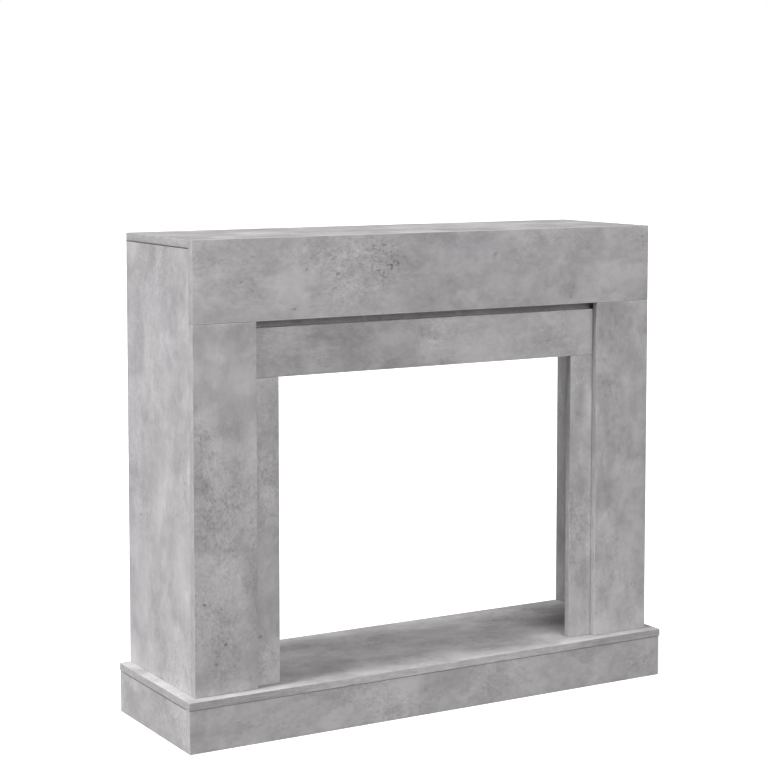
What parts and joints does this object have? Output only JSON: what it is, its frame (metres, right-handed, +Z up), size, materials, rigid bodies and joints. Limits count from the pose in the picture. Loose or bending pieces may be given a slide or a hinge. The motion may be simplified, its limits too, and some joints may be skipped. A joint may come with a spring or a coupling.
{
  "type": "fireplace mantelpiece",
  "caption": "Free-standing fireplace surround of concrete-effect boards: deep top, wide fascia and stiles, a recessed inner frame round an open firebox, and a boxed plinth as hearth.",
  "frame": {"origin": "on the floor, under the middle of the plinth", "axes": "+Z up; the front faces -Y and the open back +Y, which goes to the wall; +X to the right as seen from the front, along the width"},
  "size_m": [1.1, 0.33, 0.96],
  "materials": {
    "top_face": "satin",
    "front_face": "matte",
    "side_face": "matte",
    "inner_face": "matte",
    "hearth_face": "satin",
    "plinth_face": "matte"
  },
  "bodies": {
    "root": {"top_board": "top_face", "fascia": "front_face", "left_stile": "front_face", "right_stile": "front_face", "left_side_panel": "side_face", "right_side_panel": "side_face", "header": "inner_face", "left_leg": "inner_face", "right_leg": "inner_face", "backing_rail": "inner_face", "plinth_top": "hearth_face", "plinth_front": "plinth_face", "plinth_back": "plinth_face", "left_plinth_end": "plinth_face", "right_plinth_end": "plinth_face"}
  },
  "joints": []
}
